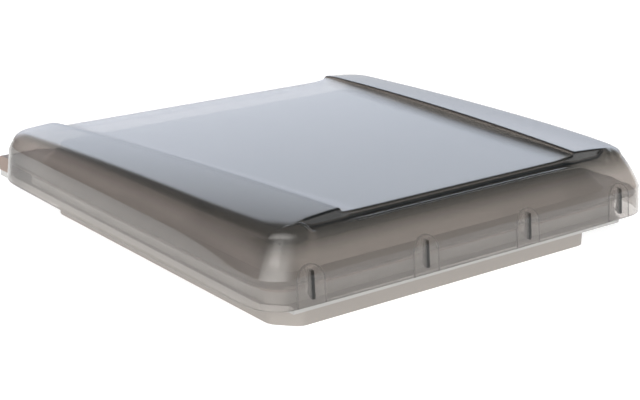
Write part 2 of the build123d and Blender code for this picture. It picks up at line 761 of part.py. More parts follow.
# Cross-bar of the bow, a tube between the two arms
with BuildPart() as bow_bar:
    with BuildSketch(Plane.YZ.offset(-arm_outer)):
        with Locations((shoe_y, bar_z)):
            Circle(bar_radius)
            Circle(bar_radius - bar_wall, mode=Mode.SUBTRACT)
    extrude(amount=2 * arm_outer)
bow_bar.part.label = "bow_bar"
export_step(bow_bar.part, "parts/bow_bar.step")

# Grip in the middle of the cross-bar
with BuildPart() as bow_grip:
    with BuildSketch(Plane.YZ.offset(-grip_length / 2)) as grip_outline:
        with Locations((shoe_y, bar_z)):
            Rectangle(grip_depth, grip_height)
            fillet(grip_outline.vertices(), grip_round)
            Circle(bar_radius + fit_gap, mode=Mode.SUBTRACT)
    extrude(amount=grip_length)
bow_grip.part.label = "bow_grip"
export_step(bow_grip.part, "parts/bow_grip.step")

# Pins through the arms' front eyes, on which the shoes turn
with BuildPart() as shoe_pins:
    for name, side in sides:
        pin_inner = guide_inner + guide_skin + stop_gap
        for radius, inner, outer in ((pivot_radius, pin_inner, arm_outer),
                                     (shoe_pin_head_radius, arm_outer, arm_outer + shoe_pin_head)):
            with BuildSketch(Plane.YZ.offset(lower_x(side, inner, outer))):
                with Locations((shoe_y, hinge_z)):
                    Circle(radius)
            extrude(amount=outer - inner)
shoe_pins.part.label = "shoe_pins"
export_step(shoe_pins.part, "parts/shoe_pins.step")

# Flanged bushes in the arms' rear eyes
with BuildPart() as pivot_bushes:
    for name, side in sides:
        for radius, inner, outer in (
                (pivot_radius + bush_wall, arm_inner, arm_outer),
                (bush_flange_radius, arm_outer, bracket_face - pivot_side_gap)):
            with BuildSketch(Plane.YZ.offset(lower_x(side, inner, outer))):
                with Locations((pivot_y, hinge_z)):
                    Circle(radius)
                    Circle(pivot_radius + pivot_play, mode=Mode.SUBTRACT)
            extrude(amount=outer - inner)
pivot_bushes.part.label = "pivot_bushes"
export_step(pivot_bushes.part, "parts/pivot_bushes.step")

# Headed pins in the brackets, on which the bow turns
with BuildPart() as pivot_pins:
    for name, side in sides:
        head_inner = arm_inner - pivot_side_gap - pivot_head
        for radius, inner, outer in (
                (pivot_radius, head_inner, shaft_half),
                (pivot_head_radius, head_inner, head_inner + pivot_head)):
            with BuildSketch(Plane.YZ.offset(lower_x(side, inner, outer))):
                with Locations((pivot_y, hinge_z)):
                    Circle(radius)
            extrude(amount=outer - inner)
pivot_pins.part.label = "pivot_pins"
export_step(pivot_pins.part, "parts/pivot_pins.step")

# Screws of the pivot brackets
with BuildPart() as bracket_screws:
    for name, side in sides:
        for radius, inner, outer, mode in (
                (screw_radius, bracket_face, collar_half, Mode.ADD),
                (head_radius, bracket_face - head_height, bracket_face, Mode.ADD),
                (recess_radius, bracket_face - head_height, bracket_face - head_height + recess_depth,
                 Mode.SUBTRACT)):
            with BuildSketch(Plane.YZ.offset(lower_x(side, inner, outer))):
                with Locations((pivot_y, bracket_screw_z)):
                    with GridLocations(bracket_screw_spacing, 0, 2, 1):
                        Circle(radius)
            extrude(amount=outer - inner, mode=mode)
bracket_screws.part.label = "bracket_screws"
export_step(bracket_screws.part, "parts/bracket_screws.step")

# Screws and pins of the catches
with BuildPart() as catch_screws:
    for radius, start, length, mode in (
            (screw_radius, -collar_half, collar_half + catch_plate_face, Mode.ADD),
            (head_radius, catch_plate_face, head_height, Mode.ADD),
            (recess_radius, catch_plate_face + head_height - recess_depth, recess_depth, Mode.SUBTRACT)):
        with BuildSketch(Plane.XZ.offset(-start)):
            with GridLocations(2 * catch_place, 0, 2, 1):
                with Locations((-catch_screw_x, catch_z), (catch_screw_x, catch_z)):
                    Circle(radius)
        extrude(amount=-length, mode=mode)
catch_screws.part.label = "catch_screws"
export_step(catch_screws.part, "parts/catch_screws.step")

with BuildPart() as catch_pins:
    for name, side in sides:
        with BuildSketch(Plane.YZ.offset(side * catch_place - catch_ear_out)):
            with Locations((catch_y, catch_z)):
                Circle(catch_pin_radius)
        extrude(amount=2 * catch_ear_out)
catch_pins.part.label = "catch_pins"
export_step(catch_pins.part, "parts/catch_pins.step")
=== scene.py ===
# %% [markdown]
# # Caravan roof vent
# A smoked, double-skinned acrylic dome, hinged along its rear edge, on a moulded frame whose
# collar drops through the roof. The imported construction is loaded as a fixed frame of real size.
# This lesson gives it its looks: the moulded dome as a smooth mesh, the finishes, and a studio.
# The skin is sized from the box of the imported dome.

# %% Load the fixed frame
from math import cos, pi, radians, sin, sqrt

import bmesh
import bpy
from mathutils import Matrix, Vector


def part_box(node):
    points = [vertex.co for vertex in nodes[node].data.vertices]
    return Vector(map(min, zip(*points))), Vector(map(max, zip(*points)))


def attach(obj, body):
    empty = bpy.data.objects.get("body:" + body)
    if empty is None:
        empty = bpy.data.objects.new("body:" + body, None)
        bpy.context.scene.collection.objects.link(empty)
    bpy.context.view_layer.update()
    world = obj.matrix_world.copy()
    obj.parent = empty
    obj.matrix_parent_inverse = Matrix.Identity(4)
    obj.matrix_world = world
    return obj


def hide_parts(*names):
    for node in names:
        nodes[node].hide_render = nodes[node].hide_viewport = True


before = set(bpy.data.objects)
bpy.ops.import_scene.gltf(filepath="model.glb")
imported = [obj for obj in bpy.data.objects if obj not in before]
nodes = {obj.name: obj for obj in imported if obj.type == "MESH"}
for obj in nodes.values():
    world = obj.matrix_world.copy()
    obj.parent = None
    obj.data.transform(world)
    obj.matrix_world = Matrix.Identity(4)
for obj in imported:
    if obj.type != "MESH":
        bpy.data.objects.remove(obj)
scene = bpy.context.scene
mm = 0.001
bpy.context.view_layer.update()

# %% [markdown]
# ## The camera
# The photograph's straight edges gave the place, the angles and the focal length. The camera
# first looks along +Y, then it pitches down, turns towards the vent and rolls a little.

# %% Camera at the photograph's place
camera_place = Vector((-0.9573, -1.1632, 0.5054))
camera_turn = radians(-39.506)
camera_pitch = radians(18.505)
camera_roll = radians(1.64)

camera_data = bpy.data.cameras.new("photo_camera")
camera_data.lens = 87.975
camera_data.sensor_width = 36.0
camera = bpy.data.objects.new("photo_camera", camera_data)
scene.collection.objects.link(camera)
camera.matrix_world = (Matrix.Translation(camera_place)
                       @ Matrix.Rotation(camera_turn, 4, "Z")
                       @ Matrix.Rotation(pi / 2 - camera_pitch, 4, "X")
                       @ Matrix.Rotation(camera_roll, 4, "Z"))
scene.camera = camera
print("camera", round(camera_place.length, 3), "m from the vent's middle, lens",
      round(camera_data.lens, 1), "mm")

# %% [markdown]
# ## The outer skin: its sizes
# The real skin is one acrylic sheet, drawn over a mould: a flat panel that slopes down to the
# hinge, a crowned wing on each side, a lip all round and a skirt. Every change of slope is a
# soft radius, which is what its reflections show. So the skin is made again here as one smooth
# mesh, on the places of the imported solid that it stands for.

# %% Sizes of the outer skin
skin_low, skin_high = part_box("outer_dome")
skin_wall = 2.4 * mm
skirt_z = skin_low.z
crease_z = skirt_z + 26.4 * mm
skirt_bow = 2.2 * mm
skirt_lean = 3.2 * mm
skirt_half_x = skin_high.x - skirt_bow
skirt_half_y = skin_high.y
skirt_corner = 33 * mm
crease_half_x = skirt_half_x - skirt_lean
crease_half_y = skirt_half_y - skirt_lean
crease_corner = 27 * mm
side_bulge = 1.6 * mm

border_corner = 24 * mm
border_middle_x = 232 * mm
border_flare_share = 0.0165
border_front_y = 217.5 * mm
border_rear_y = 222 * mm
bow_in_start = 90 * mm
bow_in_depth = 8.5 * mm
side_radius = 13 * mm
rear_radius = 8 * mm
ledge_lip_radius = 5 * mm
border_end = 0.6 * mm
border_arc = 0.8 * pi / 2
radius_change = (150 * mm, 50 * mm)
side_share = 1.5

wing_middle_z = skirt_z + 65.2 * mm
wing_fall_share = 0.0396
wing_crown = 0.0753
wing_tilt_share = 0.05
wing_round = 0.5
wing_edge_x = 164.8 * mm
wing_splay_share = 0.0874
wing_bend = 0.0346
wing_front_y = 207 * mm
lip_radius = 2 * mm
recess_x = 188 * mm
recess_corner = 12 * mm
recess_end = (recess_x - 2 * mm, recess_x + 4 * mm)

panel_front_y = 205 * mm
panel_front_z = skirt_z + 64.2 * mm
panel_slope_share = 0.0386
panel_wall = 3 * mm
wing_wall = 1.6 * mm
wall_change = (14 * mm, 1 * mm)
scoop_width = 26 * mm
ledge_z = panel_front_z - 4.4 * mm
ledge_rise = 1.0 * mm
ledge_dip = 3.5 * mm
ledge_root_dip = 0.5 * mm
ledge_dip_places = (80 * mm, 170 * mm)
ledge_curve = 1.5
print("skirt", round(2000 * (skirt_half_x + skirt_bow), 1), "mm wide, crease",
      round(1000 * (crease_z - skirt_z), 1), "mm above its foot")

# %% [markdown]
# ## The outer skin: its heights
# A height is a plain function of the place, so each feature can be read and tested alone. A
# `step` that eases from 0 to 1 blends one feature into the next without a crease.

# %% Height functions


def step(low, high, value):
    """Eases from 0 at low to 1 at high."""
    t = min(max((value - low) / (high - low), 0), 1)
    return t * t * (3 - 2 * t)


def quarter(t):
    """A quarter circle that leaves level and ends upright, over a run of 1."""
    return 1 - sqrt(max(1 - t * t, 0))


def edge_x(y):
    """Distance of a wing's inner edge from the middle."""
    return wing_edge_x + wing_splay_share * y - wing_bend * y * y


def border_x(y):
    """Half width of the top's border: it flares to the rear and draws in at the front."""
    drawn_in = max(-y - bow_in_start, 0) / (border_front_y - bow_in_start)
    return border_middle_x + border_flare_share * y - bow_in_depth * drawn_in ** 2


def wing_z(x, y):
    """Top of a wing: crowned along the vent, and falling more and more to the side."""
    across = x - edge_x(y)
    crown = wing_middle_z - wing_fall_share * y - wing_crown * y * y
    return crown - wing_tilt_share * across - wing_round * across * across


def panel_z(y):
    """Flat panel, which slopes down from its front edge to the hinge."""
    return panel_front_z - panel_slope_share * (y + panel_front_y)


def ledge_height(x, reach):
    """Ledge under the panel's front edge, from its root (0) to the border (1)."""
    dip = step(*ledge_dip_places, x)
    root = ledge_z - ledge_root_dip * dip
    border = ledge_z + ledge_rise - (ledge_rise + ledge_dip) * dip
    return root + (border - root) * reach ** ledge_curve


def rounded_drop(distance, radius):
    """How far a rounded border has fallen at a distance inside its outermost line."""
    return radius * quarter(min(max((radius - distance) / radius, 0), 1))


print("panel falls", round(1000 * (panel_z(-panel_front_y) - panel_z(border_rear_y)), 1), "mm")

# %% [markdown]
# ## The outer skin: a warped grid
# `create_grid` gives evenly spaced quads. Each column and row of it is then sent to a feature:
# the panel, the scoop beside it, the wing's lip, the wing, the rounded border. So every sharp
# place has its own close rows of quads and the flat ones stay coarse. Only the right half is
# made, and the `mirror` operator adds the left one.

# %% Columns and rows of the grid
columns = [("panel", n / 10) for n in range(10)]
columns += [("scoop", sin(n / 9 * pi / 2)) for n in range(9)]
columns += [("lip", n / 4) for n in range(4)]
columns += [("wing", n / 12) for n in range(12)]
columns += [("border", n / 8) for n in range(9)]

rows = [("ledge", 1 - n / 8) for n in range(8)]
rows += [("wall", sin(n / 6 * pi / 2)) for n in range(6)]
rows += [("front_lip", n / 4) for n in range(4)]
rows += [("top", n / 34) for n in range(34)]
rows += [("rear", n / 8) for n in range(9)]
print("grid of", len(columns), "columns and", len(rows), "rows")

# %% [markdown]
# Each kind of column and row has its own spacing. The border's columns go evenly round its arc.

# %% Places of the columns and rows


def border_reach(share, radius):
    """Even steps round a border's arc, as a distance inside its outermost line."""
    last = 1 - border_end / radius
    return radius * (1 - sin(share * border_arc) / sin(border_arc) * last)


def row_y(kind, share, x):
    """Place of a row along the vent. The wall under the panel stands behind the wings' own."""
    panel_end = edge_x(-panel_front_y)
    at_wing = step(panel_end - wall_change[0], panel_end - wall_change[1], x)
    wall_top = -panel_front_y - (wing_front_y - panel_front_y) * at_wing
    wall_root = wall_top - panel_wall - (wing_wall - panel_wall) * at_wing
    ledge_front = border_end - border_front_y
    rear_start = border_rear_y - rear_radius
    if kind == "ledge":
        return wall_root + (ledge_front - wall_root) * share
    if kind == "wall":
        return wall_root + (wall_top - wall_root) * share
    if kind == "front_lip":
        return wall_top + lip_radius * (1 - cos(share * pi / 2))
    if kind == "top":
        return wall_top + lip_radius + (rear_start - wall_top - lip_radius) * share
    return border_rear_y - border_reach(share, rear_radius)


def column_x(kind, share, y):
    """Place of a column across the vent."""
    edge = edge_x(y)
    wing_end = border_x(y) - side_radius
    if kind == "panel":
        return (edge - scoop_width) * share
    if kind == "scoop":
        return edge - scoop_width * (1 - share)
    if kind == "lip":
        return edge + lip_radius * (1 - cos(share * pi / 2))
    if kind == "wing":
        return edge + lip_radius + (wing_end - edge - lip_radius) * share
    return border_x(y) - border_reach(share, side_radius)


# %% [markdown]
# A grid has square corners and the skin has round ones. `round_corner` bends the last square
# of the plan into a quarter disc, which keeps the quads even.

# %% Round the corners of the plan


def round_corner(x, y):
    """Moves a place in the square corner of the plan into its round corner."""
    radius = border_corner - border_end
    centre_x = border_x(y) - border_corner
    centre_y = (border_rear_y if y > 0 else border_front_y) - border_corner
    across = (x - centre_x) / radius
    along = (abs(y) - centre_y) / radius
    if across <= 0 or along <= 0:
        return x, y
    side = 1 if y > 0 else -1
    return (centre_x + radius * across * sqrt(1 - along * along / 2),
            side * (centre_y + radius * along * sqrt(1 - across * across / 2)))


def border_distance(x, y):
    """Distance inside the rounded plan of the border."""
    end = border_rear_y if y > 0 else border_front_y
    across = x - border_x(y) + border_corner
    along = abs(y) - end + border_corner
    if across > 0 and along > 0:
        return border_corner - sqrt(across * across + along * along)
    return border_corner - max(across, along)


# %% [markdown]
# The height of a grid point follows from its column, then from its row: behind the wall rows
# it is the top itself, and in front of them it drops to the ledge, except beyond the recess,
# where the wing carries on down to its round corner.

# %% Height of each grid point


def top_height(kind, share, x, y):
    """Height of the panel, the scoop, the wing's lip or the wing, before any border."""
    edge_height = wing_z(edge_x(y), y)
    if kind == "panel":
        return panel_z(y)
    if kind == "scoop":
        return panel_z(y) + (edge_height - lip_radius - panel_z(y)) * quarter(share)
    if kind == "lip":
        return wing_z(x, y) - lip_radius * (1 - sin(share * pi / 2))
    return wing_z(x, y)


def skin_height(column, row, x, y):
    """Height of a grid point of the outer skin."""
    top = top_height(column[0], column[1], x, y)
    distance = border_distance(x, y)
    side_distance = border_x(y) - x
    corner = x > border_x(y) - border_corner
    if y > 0:
        at_rear = step(*radius_change, border_rear_y - y)
        radius = rear_radius + (side_radius - rear_radius) * at_rear
        if corner and side_distance < distance * side_share:
            radius = side_radius
        return top - rounded_drop(distance, radius)
    beyond = step(*recess_end, x)
    outer = top - rounded_drop(distance if corner else side_distance, side_radius)
    outer_front = top - rounded_drop(distance, side_radius)
    outer += (outer_front - outer) * beyond
    if row[0] not in ("ledge", "wall", "front_lip") or x >= recess_x:
        return outer
    if row[0] == "front_lip":
        return outer - lip_radius * (1 - sin(row[1] * pi / 2)) * (1 - beyond)
    reach = row[1] if row[0] == "ledge" else 0
    ledge = ledge_height(x, reach) - rounded_drop(distance, ledge_lip_radius)
    ledge += recess_corner * quarter(max(x - recess_x + recess_corner, 0) / recess_corner)
    ledge = min(ledge, outer)
    if row[0] == "ledge":
        return ledge
    return ledge + (outer - lip_radius - ledge) * quarter(row[1])


# %% [markdown]
# The grid is made once, flat, and each of its points is then moved to its place. A column leans
# with its row and a row bends with its column, so the two are worked out in turn.

# %% Make the top of the skin
skin = bmesh.new()
bmesh.ops.create_grid(skin, x_segments=len(columns) - 1, y_segments=len(rows) - 1, size=1)
for vertex in skin.verts:
    c = round((vertex.co.x + 1) / 2 * (len(columns) - 1))
    r = round((vertex.co.y + 1) / 2 * (len(rows) - 1))
    y = row_y(*rows[r], column_x(*columns[c], 0))
    x = column_x(*columns[c], y)
    y = row_y(*rows[r], x)
    x, y = round_corner(x, y)
    vertex.co = (x, y, skin_height(columns[c], rows[r], x, y))
print("top of the skin", len(skin.verts), "points")

# %% [markdown]
# ## The outer skin: its sides
# The border's edges are extruded down, ring by ring: the leaning side, the crease and the
# skirt. Each ring keeps the border's order of points, so a point needs only its share of the
# way round to find its place on the crease and on the skirt's foot.

# %% Rings of the side


def on_outline(point, half_x, half_y, corner):
    """The place on a larger round-cornered outline that matches a point of the border."""
    end = border_rear_y if point.y > 0 else border_front_y
    reach_x = border_x(point.y) - border_corner
    reach_y = end - border_corner
    across = point.x - reach_x
    along = abs(point.y) - reach_y
    side = 1 if point.y > 0 else -1
    if across > 0 and along > 0:
        way = Vector((across, along)).normalized()
        return Vector((half_x - corner + corner * way.x, side * (half_y - corner + corner * way.y)))
    if along > 0:
        return Vector((point.x / reach_x * (half_x - corner), side * half_y))
    return Vector((half_x, point.y / reach_y * (half_y - corner)))


def side_point(start, level):
    """Place on the side: levels 0 to 1 lead to the crease, 1 to 2 down the skirt."""
    bow_x = skirt_bow * (1 - (start.y / skirt_half_y) ** 2)
    bow_y = skirt_bow * (1 - (start.x / skirt_half_x) ** 2) if start.y < 0 else 0
    crease = on_outline(start, crease_half_x + bow_x, crease_half_y + bow_y, crease_corner)
    foot = on_outline(start, skirt_half_x + bow_x, skirt_half_y + bow_y, skirt_corner)
    if level <= 1:
        place = start.xy.lerp(crease, level)
        place += (crease - start.xy).normalized() * side_bulge * 4 * level * (1 - level)
        return Vector((*place, start.z + (crease_z - start.z) * level))
    place = crease.lerp(foot, level - 1)
    return Vector((*place, crease_z + (skirt_z - crease_z) * (level - 1)))


# %% [markdown]
# The loop keeps, for each point of the lowest ring, the border point that it came from. The
# levels crowd together at the border, the crease and the foot, which keeps those edges crisp.
# The half's open side, on the vent's middle, is left out of the ring.

# %% Extrude the side ring by ring
side_levels = [0.06, 0.15, 0.3, 0.5, 0.7, 0.85, 0.97, 1.0, 1.03, 1.2, 1.5, 1.8, 1.96, 2.0]
ring = [edge for edge in skin.edges if edge.is_boundary
        and max(abs(v.co.x) for v in edge.verts) > 1 * mm]
start_of = {v: v.co.copy() for edge in ring for v in edge.verts}
for level in side_levels:
    made = bmesh.ops.extrude_edge_only(skin, edges=ring)["geom"]
    new_points = {item for item in made if isinstance(item, bmesh.types.BMVert)}
    ring = [item for item in made if isinstance(item, bmesh.types.BMEdge) and item.is_boundary]
    new_starts = {}
    for old, start in start_of.items():
        for edge in old.link_edges:
            other = edge.other_vert(old)
            if other in new_points and other not in new_starts:
                new_starts[other] = start
    for vertex, start in new_starts.items():
        vertex.co = side_point(start, level)
    start_of = new_starts
    ring = [edge for edge in ring if all(v in start_of for v in edge.verts)]
print("half skin", len(skin.verts), "points")

# %% [markdown]
# The left half is the right one mirrored. Doubled points on the middle line are merged, and
# the normals are turned outwards, because the wall is built inwards from them. Extruding adds
# faces in no fixed order, so edges and faces are sorted, and every run makes the same mesh.

# %% Mirror the half


def put_in_order(parts):
    """Sorts edges or faces by their points."""
    ranked = sorted(parts, key=lambda part: sorted(vertex.index for vertex in part.verts))
    rank = {part: place for place, part in enumerate(ranked)}
    parts.sort(key=rank.get)


bmesh.ops.mirror(skin, geom=skin.verts[:] + skin.edges[:] + skin.faces[:], axis="X",
                 merge_dist=0.05 * mm)
bmesh.ops.remove_doubles(skin, verts=skin.verts[:], dist=0.02 * mm)
bmesh.ops.recalc_face_normals(skin, faces=skin.faces[:])
if sum(face.normal.z * face.calc_area() for face in skin.faces) < 0:
    bmesh.ops.reverse_faces(skin, faces=skin.faces[:])
for face in skin.faces:
    face.smooth = True
skin.verts.index_update()
put_in_order(skin.edges)
put_in_order(skin.faces)
skin_mesh = bpy.data.meshes.new("acrylic_skin")
skin.to_mesh(skin_mesh)
skin.free()
print("outer skin", len(skin_mesh.polygons), "faces before its wall")

# %% [markdown]
# A `Solidify` modifier gives the sheet its thickness and one level of subdivision rounds its
# edges. The skin rides on the dome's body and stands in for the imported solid.

# %% Give the skin its wall
acrylic_skin = bpy.data.objects.new("acrylic_skin", skin_mesh)
scene.collection.objects.link(acrylic_skin)
wall = acrylic_skin.modifiers.new("wall", "SOLIDIFY")
wall.thickness = skin_wall
wall.offset = -1
wall.use_even_offset = True
smooth = acrylic_skin.modifiers.new("smooth", "SUBSURF")
smooth.levels = 1
smooth.render_levels = 1
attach(acrylic_skin, "dome")
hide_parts("outer_dome")
print("wall", round(1000 * wall.thickness, 1), "mm")

# %% [markdown]
# ## Helpers for nodes
# `add_node` adds a shader node and fills its sockets: a socket is linked when it's given an
# output, and set when it's given a value. `new_group` opens a shared node group.

# %% Node helpers
mode_names = {"Mix": "data_type", "MapRange": "interpolation_type"}


def add_node(tree, kind, mode=None, inputs=None):
    node = tree.nodes.new("ShaderNode" + kind)
    if mode:
        setattr(node, mode_names.get(kind, "operation"), mode)
    for key, value in (inputs or {}).items():
        if isinstance(value, bpy.types.NodeSocket):
            tree.links.new(value, node.inputs[key])
        else:
            node.inputs[key].default_value = value
    return node


def math_node(tree, operation, *values):
    return add_node(tree, "Math", operation, dict(enumerate(values))).outputs[0]


def new_group(name, given, made):
    """Opens a group. `given` maps inputs to a kind and a value, `made` maps outputs to a kind."""
    group = bpy.data.node_groups.new(name, "ShaderNodeTree")
    for socket_name, (kind, value) in given.items():
        socket = group.interface.new_socket(name=socket_name, in_out="INPUT",
                                            socket_type="NodeSocket" + kind)
        socket.default_value = value
    for socket_name, kind in made.items():
        group.interface.new_socket(name=socket_name, in_out="OUTPUT",
                                   socket_type="NodeSocket" + kind)
    given_sockets = group.nodes.new("NodeGroupInput").outputs
    made_sockets = group.nodes.new("NodeGroupOutput").inputs
    return group, given_sockets, made_sockets


def use_group(tree, group, values):
    node = tree.nodes.new("ShaderNodeGroup")
    node.node_tree = group
    for name, value in values.items():
        node.inputs[name].default_value = value
    return node.outputs


# %% [markdown]
# ## Finishes
# Moulded plastic is never one flat colour. A shared node group, `moulding`, gives each finish
# its slow change of shade, its fine grain and its roughness, at a real scale, from Object
# coordinates. Each material sets its own values.

# %% A shared group for moulded surfaces
grain_step = 0.1 * mm
moulding, given, made = new_group(
    "moulding",
    {"Color": ("Color", (0.5, 0.5, 0.5, 1)), "Shade Change": ("Float", 0.05),
     "Cloud Scale": ("Float", 9.0), "Grain Scale": ("Float", 1500.0),
     "Grain Depth": ("Float", 0.1), "Roughness": ("Float", 0.4)},
    {"Color": "Color", "Roughness": "Float", "Normal": "Vector"})
place = add_node(moulding, "TexCoord").outputs["Object"]
cloud = add_node(moulding, "TexNoise", inputs={
    "Vector": place, "Scale": given["Cloud Scale"], "Detail": 3}).outputs["Fac"]
centred = math_node(moulding, "MULTIPLY_ADD", cloud, 2, -1)
change = math_node(moulding, "MULTIPLY_ADD", centred, given["Shade Change"], 1)
shade = add_node(moulding, "VectorMath", "SCALE", {0: given["Color"], "Scale": change})
rough = math_node(moulding, "MULTIPLY", given["Roughness"], change)
grain = add_node(moulding, "TexNoise", inputs={
    "Vector": place, "Scale": given["Grain Scale"], "Detail": 2}).outputs["Fac"]
bump = add_node(moulding, "Bump", inputs={
    "Strength": given["Grain Depth"], "Distance": grain_step, "Height": grain})
moulding.links.new(shade.outputs["Vector"], made["Color"])
moulding.links.new(rough, made["Roughness"])
moulding.links.new(bump.outputs["Normal"], made["Normal"])
print("group", moulding.name, "with", len(moulding.nodes), "nodes")

# %% [markdown]
# `finish` builds a material from the group and one Principled shader. Numbers that are the same
# all over the surface, such as the refractive index, are set straight on the shader. `paint`
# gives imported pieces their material.

# %% Materials from the group


def finish(name, color, roughness, change, cloud, grain, depth, **plain):
    """Makes a finish. `cloud` and `grain` are noise scales, `plain` holds fixed numbers."""
    material = bpy.data.materials.new(name)
    material.use_nodes = True
    tree = material.node_tree
    shader = tree.nodes["Principled BSDF"]
    surface = use_group(tree, moulding, {
        "Color": (*color, 1), "Roughness": roughness, "Shade Change": change,
        "Cloud Scale": cloud, "Grain Scale": grain, "Grain Depth": depth})
    tree.links.new(surface["Color"], shader.inputs["Base Color"])
    tree.links.new(surface["Roughness"], shader.inputs["Roughness"])
    if depth:
        tree.links.new(surface["Normal"], shader.inputs["Normal"])
    for socket, value in plain.items():
        shader.inputs[socket.replace("_", " ").title()].default_value = value
    return material


def paint(material, *names):
    for name in names:
        mesh = nodes[name].data
        mesh.materials.clear()
        mesh.materials.append(material)
    print(material.name, "on", ", ".join(names))


# %% [markdown]
# Some places are darker or paler than the rest of their piece. A mask says where, as a value
# from 0 to 1, and `tint` lays a colour there over the base colour.

# %% Masks and tints


def object_place(tree):
    """The three coordinates of a place on the piece."""
    place = add_node(tree, "TexCoord").outputs["Object"]
    return add_node(tree, "SeparateXYZ", inputs={0: place}).outputs


def edge_mask(tree, value, low, high):
    """A mask that rises smoothly from 0 to 1 between two values."""
    return add_node(tree, "MapRange", "SMOOTHSTEP", {
        "Value": value, "From Min": low, "From Max": high}).outputs["Result"]


def all_masks(tree, first, *others):
    """A mask where all of the given masks hold."""
    for other in others:
        first = math_node(tree, "MULTIPLY", first, other)
    return first


def tint(tree, mask, color):
    """Lays a colour over the base colour where the mask is 1."""
    socket = tree.nodes["Principled BSDF"].inputs["Base Color"]
    mix = add_node(tree, "Mix", "RGBA", {
        "Factor": mask, "A": socket.links[0].from_socket, "B": (*color, 1)})
    tree.links.new(mix.outputs["Result"], socket)


# %% [markdown]
# The four clips inside the front skirt stand at even places, so one rule finds them all: how
# far a place is from the middle of its clip. One shared group makes two masks of painted shade
# from it, one for the upright fin and one for the arched rim. `Back` says how far back the fin
# goes.

# %% A shared group for the clips' marks
clip_low, clip_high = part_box("skirt_clips")
clip_half = 15 * mm
clip_first_x = clip_low.x + clip_half
clip_spacing = (clip_high.x - clip_low.x - 2 * clip_half) / 3
fin_half = 1.7 * mm
fin_low_z = clip_low.z + 5.5 * mm
fin_high_z = clip_high.z - 4 * mm
fin_blur = 0.3 * mm
rim_edges = (clip_half - 1.8 * mm, clip_half - 0.5 * mm)

clip_shade_masks, given, made = new_group("clip_shade_masks", {"Back": ("Float", 0.0)},
                                    {"Fin": "Float", "Rim": "Float"})
place = object_place(clip_shade_masks)
across = place["X"]
for operation, number in (("SUBTRACT", clip_first_x - clip_spacing / 2),
                          ("DIVIDE", clip_spacing), ("FRACT", 0), ("SUBTRACT", 0.5),
                          ("ABSOLUTE", 0), ("MULTIPLY", clip_spacing)):
    across = math_node(clip_shade_masks, operation, across, number)
behind = math_node(clip_shade_masks, "SUBTRACT", place["Y"], given["Back"])
fin = all_masks(clip_shade_masks,
                math_node(clip_shade_masks, "LESS_THAN", across, fin_half),
                edge_mask(clip_shade_masks, behind, 0, -fin_blur),
                edge_mask(clip_shade_masks, place["Z"], fin_low_z, fin_low_z + fin_blur),
                edge_mask(clip_shade_masks, place["Z"], fin_high_z, fin_high_z - fin_blur))
rise = math_node(clip_shade_masks, "SUBTRACT", place["Z"], clip_high.z - clip_half)
rise = math_node(clip_shade_masks, "MAXIMUM", rise, 0)
plan = add_node(clip_shade_masks, "CombineXYZ", inputs={"X": across, "Y": rise}).outputs[0]
radius = add_node(clip_shade_masks, "VectorMath", "LENGTH", {0: plan}).outputs["Value"]
clip_shade_masks.links.new(fin, made["Fin"])
clip_shade_masks.links.new(edge_mask(clip_shade_masks, radius, *rim_edges), made["Rim"])
print("clips every", round(1000 * clip_spacing, 1), "mm")

# %% [markdown]
# A drawn sheet thins at its sides, so their smoke is paler than the top's. Painted shade
# darkens the skin at its rear corners and, darkest of all, in the step under the panel's front
# edge. The fins behind the skirt would look too pale through its reflections, so painted shade
# of the fins darkens the skirt along each of them as well.

# %% Smoked acrylic
pale_side = (crease_z + 12 * mm, crease_z + 34 * mm)
rear_shade_y = (150 * mm, 215 * mm)
rear_shade_x = (215 * mm, 230 * mm)
step_shade_front = (-panel_front_y + 0.2 * mm, -panel_front_y - 0.6 * mm)
step_shade_back = (-panel_front_y - 4.4 * mm, -panel_front_y - 3.4 * mm)
step_shade_side = (recess_x - 1 * mm, recess_x - 4 * mm)
fin_shade_back = clip_low.y + 15 * mm

smoked = finish("smoked_acrylic", (0.56, 0.53, 0.505), roughness=0.05, change=0.03,
                cloud=5.0, grain=60.0, depth=0.0, transmission_weight=0.92)
tree = smoked.node_tree
tree.nodes["Principled BSDF"].inputs["IOR"].default_value = 1.49
place = object_place(tree)
across = math_node(tree, "ABSOLUTE", place["X"])
# Painted shade: the skin is darker at its rear corners.
tint(tree, all_masks(tree, edge_mask(tree, place["Y"], *rear_shade_y),
                     edge_mask(tree, across, *rear_shade_x)), (0.32, 0.305, 0.29))
tint(tree, edge_mask(tree, place["Z"], *pale_side), (0.21, 0.20, 0.185))
# Painted shade: the step under the panel's front edge is darkened.
tint(tree, all_masks(tree, edge_mask(tree, place["Y"], *step_shade_front),
                     edge_mask(tree, place["Y"], *step_shade_back),
                     edge_mask(tree, across, *step_shade_side)), (0.05, 0.056, 0.06))
# Painted shade of the fins: the skirt is darkened along each of them.
tint(tree, use_group(tree, clip_shade_masks, {"Back": fin_shade_back})["Fin"], (0.01, 0.01, 0.01))
acrylic_skin.data.materials.append(smoked)
print(smoked.name, "with", len(tree.nodes), "nodes")

# %% [markdown]
# The inner skin is frosted, so the shaft below it shows only as soft bands. The clips are
# clear; painted shade makes their fins dark and their arched rims grey.

# %% Clear acrylic and the clips
fin_back = clip_low.y + 6.5 * mm

inner = finish("clear_acrylic", (0.48, 0.44, 0.405), roughness=0.35, change=0.04,
               cloud=7.0, grain=60.0, depth=0.0, transmission_weight=0.75)
paint(inner, "inner_dome")
clip_plastic = finish("clip_plastic", (0.93, 0.93, 0.93), roughness=0.05, change=0.05,
                      cloud=20.0, grain=1500.0, depth=0.0, transmission_weight=0.95)
clip_shade = use_group(clip_plastic.node_tree, clip_shade_masks, {"Back": fin_back})
